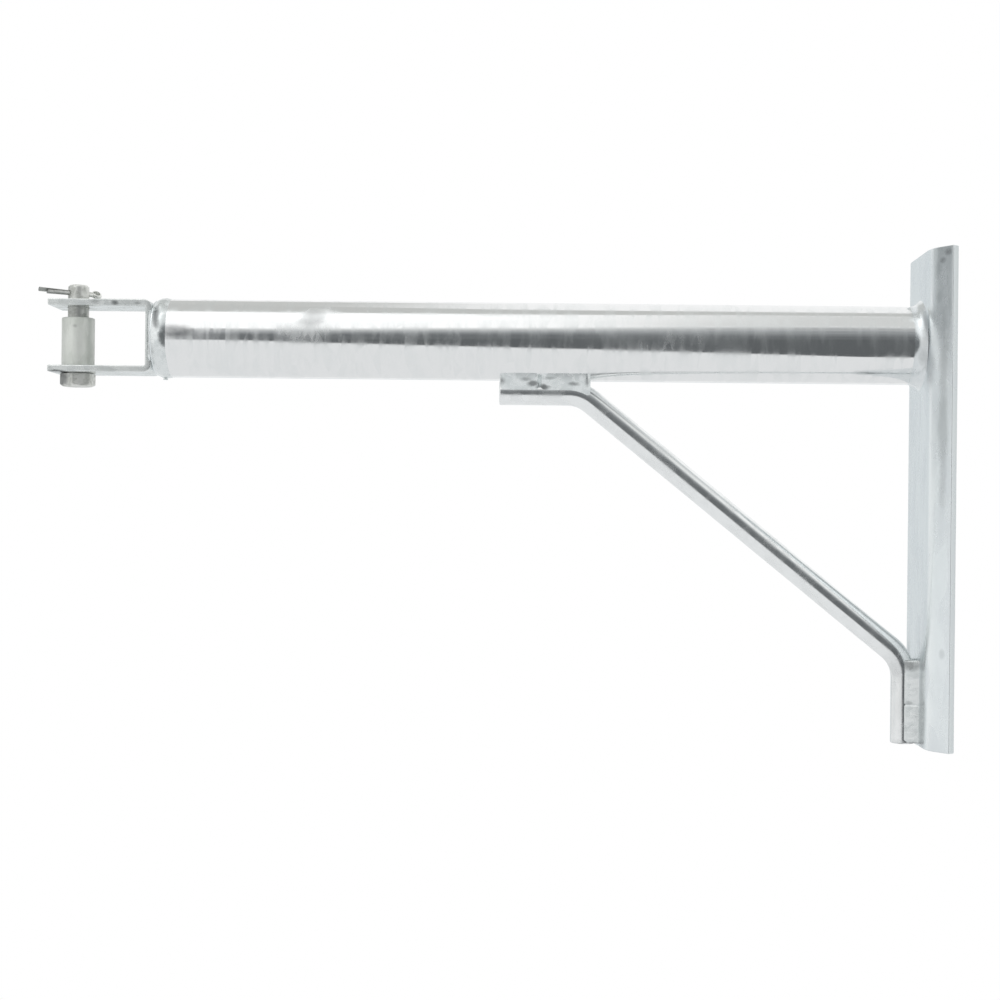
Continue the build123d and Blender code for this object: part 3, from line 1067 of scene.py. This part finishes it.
# Floor: pale, far enough below that it keeps only a soft shadow, and white where it ends. It is
# measured in metres, as the cards are, and it fades to white between two distances from its middle.
FLOOR_RADIUS = 1.1
FLOOR_SIDES = 96
FLOOR_FADE = (0.4, 1.05)
floor_paint, floor_tree = blank_finish("matt pale floor")
floor_place = add(floor_tree, "ShaderNodeTexCoord").outputs["Object"]
from_middle = add(floor_tree, "ShaderNodeVectorMath", {0: floor_place}, operation="LENGTH")
rim = add(floor_tree, "ShaderNodeMapRange", {
    "Value": from_middle.outputs["Value"],
    "From Min": FLOOR_FADE[0], "From Max": FLOOR_FADE[1],
}, interpolation_type="SMOOTHSTEP")
fade = add(floor_tree, "ShaderNodeMath", {
    0: rim.outputs["Result"], 1: seen(floor_tree),
}, operation="MULTIPLY")
matt = add(floor_tree, "ShaderNodeBsdfDiffuse", {"Color": linear("#F2F2F2")})
glow = add(floor_tree, "ShaderNodeEmission", {"Color": linear("#FFFFFF"), "Strength": 1.0})
floor_mix = add(floor_tree, "ShaderNodeMixShader", {
    0: fade.outputs[0], 1: matt.outputs[0], 2: glow.outputs[0],
})
add(floor_tree, "ShaderNodeOutputMaterial", {"Surface": floor_mix.outputs[0]})
floor_mesh = bpy.data.meshes.new("floor")
floor_angles = [2 * pi * j / FLOOR_SIDES for j in range(FLOOR_SIDES)]
floor_rim = [(FLOOR_RADIUS * cos(a), FLOOR_RADIUS * sin(a), 0) for a in floor_angles]
floor_mesh.from_pydata(floor_rim, [], [tuple(range(FLOOR_SIDES))])
floor_mesh.materials.append(floor_paint)
floor = placed("floor", floor_mesh)
floor.location = (-0.35, 0.0, -0.95)

# One softbox overhead, which gives the floor its shadow and the dull pieces their soft tops
lamp = bpy.data.lights.new("overhead softbox", "AREA")
lamp.shape = "RECTANGLE"
lamp.size = 1.8
lamp.size_y = 1.6
lamp.energy = 9
softbox = placed("overhead softbox", lamp)
softbox.location = (-1.3, -0.6, 2.6)
softbox.rotation_euler = (
    (Vector((-0.55, 0, 0)) - softbox.location).to_track_quat("-Z", "Y").to_euler()
)

# The camera stands level in front of the arm's middle, and its shift frames the photograph
camera_data = bpy.data.cameras.new("camera")
camera_data.lens = 63.03
camera_data.sensor_width = 36
camera_data.shift_x = -0.0475
camera_data.shift_y = 0.0222
camera = placed("camera", camera_data)
camera.matrix_world = (
    Matrix.Translation((-0.3056, -1.3636, -0.1401))
    @ Matrix.Rotation(pi / 2, 4, "X") @ Matrix.Rotation(radians(0.589), 4, "Z")
)
bpy.context.scene.camera = camera
bpy.context.scene.view_settings.view_transform = "Standard"
